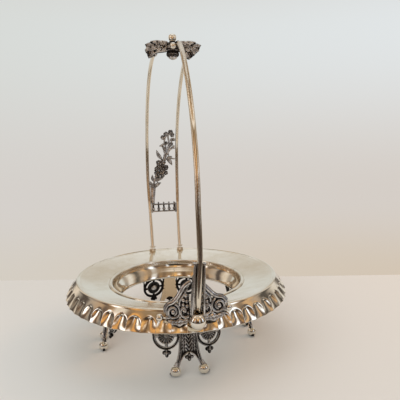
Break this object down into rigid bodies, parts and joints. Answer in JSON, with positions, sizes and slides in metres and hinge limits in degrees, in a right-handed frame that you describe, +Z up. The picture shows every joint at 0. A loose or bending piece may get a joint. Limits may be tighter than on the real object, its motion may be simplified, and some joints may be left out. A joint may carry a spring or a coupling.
{
  "type": "brides basket",
  "caption": "Silver-plated stand for a glass bowl: dished ring with a fluted skirt on pierced ball feet, under a hooped three-leg handle.",
  "frame": {"origin": "on the table, under the middle of the ring", "axes": "+Z up along the ring's axis; -Y toward the single stem of the handle and its bracket, +Y toward the two rear rods; +X to the right as seen from the stem's side"},
  "size_m": [0.214, 0.2344, 0.2959],
  "materials": {
    "silver_plate": "polished silver plate, softly tarnished",
    "cast_silver": "cast ornament, silver-plated, blackened in the hollows",
    "dark_casting": "oxidised casting, nearly black",
    "bright_ball": "mirror-polished silver plate",
    "brass_screw": "turned brass, dull"
  },
  "bodies": {
    "root": {"rim_plate": "silver_plate", "bowl_collar": "silver_plate", "handle_stem": "silver_plate", "rear_rod_left": "silver_plate", "rear_rod_right": "silver_plate", "drop_finial": "silver_plate", "foot_front": "cast_silver", "foot_right": "cast_silver", "foot_back": "cast_silver", "foot_left": "cast_silver", "handle_bracket": "cast_silver", "rear_collar_left": "cast_silver", "rear_collar_right": "cast_silver", "crown": "cast_silver", "gallery": "dark_casting", "flower_spray": "dark_casting", "foot_ball_front_a": "bright_ball", "foot_ball_front_b": "bright_ball", "foot_ball_right_a": "bright_ball", "foot_ball_right_b": "bright_ball", "foot_ball_back_a": "bright_ball", "foot_ball_back_b": "bright_ball", "foot_ball_left_a": "bright_ball", "foot_ball_left_b": "bright_ball", "stem_ball_nut": "bright_ball", "bracket_ball_left": "bright_ball", "bracket_ball_right": "bright_ball", "top_ball": "bright_ball", "front_ball": "bright_ball", "rear_nut_left": "brass_screw", "rear_nut_right": "brass_screw", "crown_stud": "brass_screw"}
  },
  "joints": []
}
